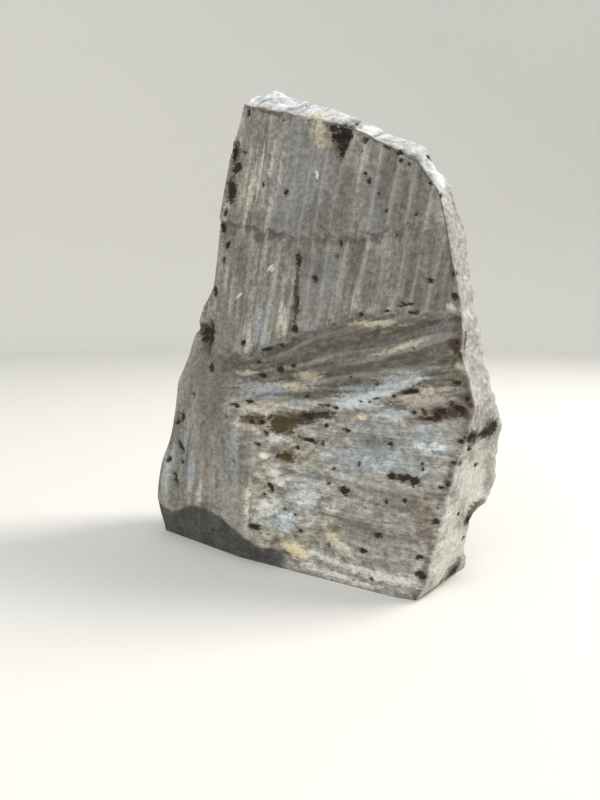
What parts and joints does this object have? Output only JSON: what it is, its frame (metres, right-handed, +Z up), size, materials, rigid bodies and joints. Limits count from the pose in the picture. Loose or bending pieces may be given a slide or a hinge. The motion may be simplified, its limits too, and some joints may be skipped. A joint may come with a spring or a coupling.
{
  "type": "soapstone block",
  "caption": "Rough block of soapstone standing on a flat foot, with gouge-cut front, slanting ledges, pits and broken sides",
  "frame": {"origin": "under the middle of the block, on the plane of its flat foot", "axes": "+Z up the block, its longest extent; the gouge-cut front faces -Y and turns about 33 degrees to the left; +X to the right"},
  "size_m": [0.153, 0.1171, 0.2087],
  "materials": {
    "soapstone": "matt grey talc stone, gouge-cut and broken, with cream streaks, blue-grey patches and brown iron stains"
  },
  "bodies": {
    "root": {"stone": "soapstone"}
  },
  "joints": []
}
